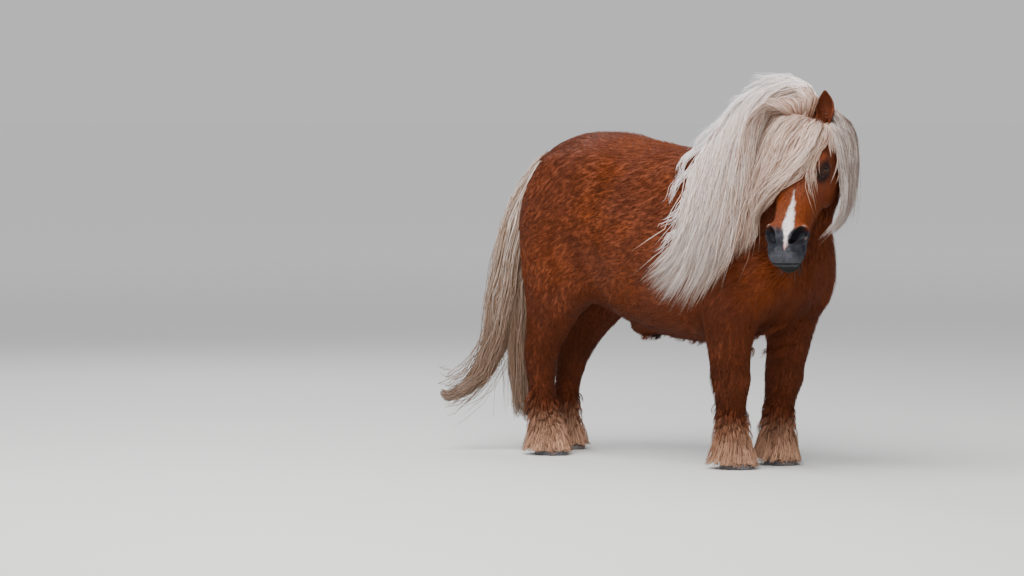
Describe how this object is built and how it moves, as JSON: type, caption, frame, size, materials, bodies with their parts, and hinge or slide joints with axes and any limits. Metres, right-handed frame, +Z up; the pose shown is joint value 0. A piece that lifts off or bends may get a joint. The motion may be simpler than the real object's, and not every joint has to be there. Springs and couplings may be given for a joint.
{
  "type": "pony",
  "caption": "Standing Shetland pony with its head turned to its right, a thick windblown mane and forelock, feathered feet and a full tail.",
  "frame": {"origin": "middle of the bounding box on the floor that the hooves stand on", "axes": "-Y the way the trunk faces, +X the pony's own left, +Z up; the head is turned to the pony's right"},
  "size_m": [0.763, 1.5598, 1.1151],
  "materials": {
    "coat": "chestnut hair, soft sheen",
    "tail_hair": "long flaxen hair, soft sheen",
    "horn": "dark slate horn, satin",
    "eye": "wet and glossy"
  },
  "bodies": {
    "root": {"torso": "coat", "neck": "coat", "head": "coat", "ear_left": "coat", "ear_right": "coat", "eye_left": "eye", "eye_right": "eye", "leg_fore_left": "coat", "leg_fore_right": "coat", "leg_hind_left": "coat", "leg_hind_right": "coat", "hoof_fore_left": "horn", "hoof_fore_right": "horn", "hoof_hind_left": "horn", "hoof_hind_right": "horn", "tail": "tail_hair"}
  },
  "joints": []
}
